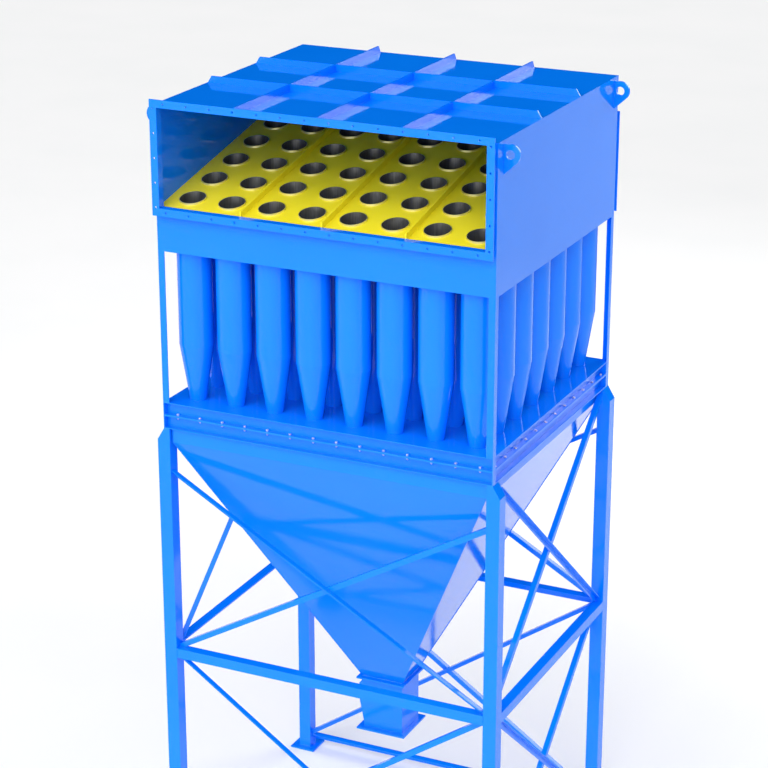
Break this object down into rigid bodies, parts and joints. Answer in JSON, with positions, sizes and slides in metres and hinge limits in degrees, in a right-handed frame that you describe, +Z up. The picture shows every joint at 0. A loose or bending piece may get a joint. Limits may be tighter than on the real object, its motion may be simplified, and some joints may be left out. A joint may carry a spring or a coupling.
{
  "type": "multi-tube cyclone dust separator",
  "caption": "Bank of small cyclones standing between a rectangular gas casing and a pyramid dust hopper, carried on a braced four-legged steel frame.",
  "frame": {"origin": "on the ground under the middle of the casing", "axes": "+Z up, the clean-gas outlet faces -Y, the dusty-gas inlet faces +Y, +X to the right as seen from the outlet side"},
  "size_m": [2.5038, 2.1, 5.435],
  "materials": {
    "blue_paint": "gloss",
    "yellow_paint": "gloss",
    "bare_steel": "satin"
  },
  "bodies": {
    "root": {"leg_front_left": "blue_paint", "leg_front_right": "blue_paint", "leg_back_left": "blue_paint", "leg_back_right": "blue_paint", "base_plates": "blue_paint", "mid_beam_front": "blue_paint", "mid_beam_back": "blue_paint", "mid_beam_left": "blue_paint", "mid_beam_right": "blue_paint", "foot_beams": "blue_paint", "upper_braces_front": "blue_paint", "lower_braces_front": "blue_paint", "upper_braces_back": "blue_paint", "lower_braces_back": "blue_paint", "upper_braces_left": "blue_paint", "upper_braces_right": "blue_paint", "lower_braces_right": "blue_paint", "hopper_shell": "blue_paint", "hopper_outlet_flange": "blue_paint", "discharge_body": "blue_paint", "discharge_flange_ring": "blue_paint", "hopper_rim": "blue_paint", "dust_plate_rim": "blue_paint", "dust_plate": "blue_paint", "corner_posts": "blue_paint", "cyclone_row_1": "blue_paint", "cyclone_row_2": "blue_paint", "cyclone_row_3": "blue_paint", "cyclone_row_4": "blue_paint", "cyclone_row_5": "blue_paint", "cyclone_row_6": "blue_paint", "cyclone_row_7": "blue_paint", "casing_floor": "blue_paint", "casing_left_panel": "blue_paint", "casing_right_panel": "blue_paint", "casing_front_wall": "blue_paint", "casing_back_wall": "blue_paint", "roof_plate": "blue_paint", "outlet_duct_flange": "blue_paint", "inlet_duct_flange": "blue_paint", "roof_ribs": "blue_paint", "lifting_lugs": "blue_paint", "outlet_tube_sheet": "yellow_paint", "outlet_tubes": "bare_steel"}
  },
  "joints": []
}
